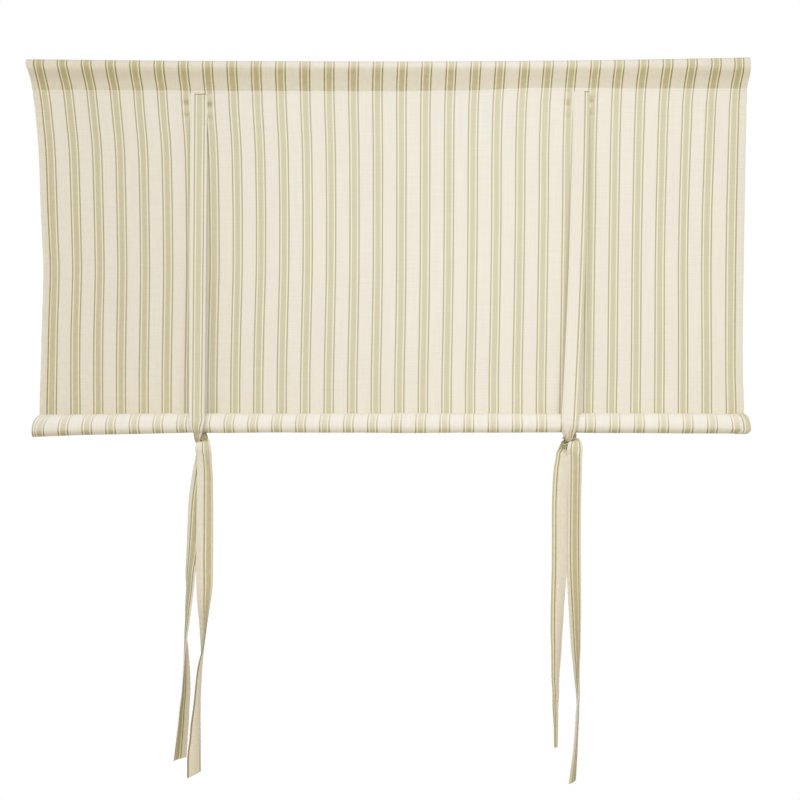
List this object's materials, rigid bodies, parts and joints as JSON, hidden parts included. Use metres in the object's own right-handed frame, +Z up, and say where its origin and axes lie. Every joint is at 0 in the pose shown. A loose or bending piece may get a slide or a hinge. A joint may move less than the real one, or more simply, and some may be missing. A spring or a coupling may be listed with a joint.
{
  "type": "tie-up roll blind",
  "caption": "Striped cotton window blind hung on a rod in a sewn pocket, its foot rolled up on a dowel and held by pairs of cloth ties half-knotted under the roll.",
  "frame": {"origin": "middle of the head rod's axis, half-way along the blind", "axes": "+X along the rod, to the right as seen from the room; +Y from the room towards the window; +Z up"},
  "size_m": [1.2, 0.053, 1.191],
  "materials": {
    "striped_cotton": "plain-woven cotton, cream with sage stripes",
    "rod_enamel": "satin white enamel on steel tube",
    "dowel_wood": "sanded, bare",
    "sewing_thread": "spun polyester thread"
  },
  "bodies": {
    "root": {"blind_cloth": "striped_cotton", "left_front_tie": "striped_cotton", "left_back_tie": "striped_cotton", "right_front_tie": "striped_cotton", "right_back_tie": "striped_cotton", "head_rod": "rod_enamel", "bottom_dowel": "dowel_wood", "left_front_bar_tack": "sewing_thread", "left_back_bar_tack": "sewing_thread", "right_front_bar_tack": "sewing_thread", "right_back_bar_tack": "sewing_thread", "pocket_seam_thread": "sewing_thread", "left_hem_thread": "sewing_thread", "right_hem_thread": "sewing_thread"}
  },
  "joints": []
}
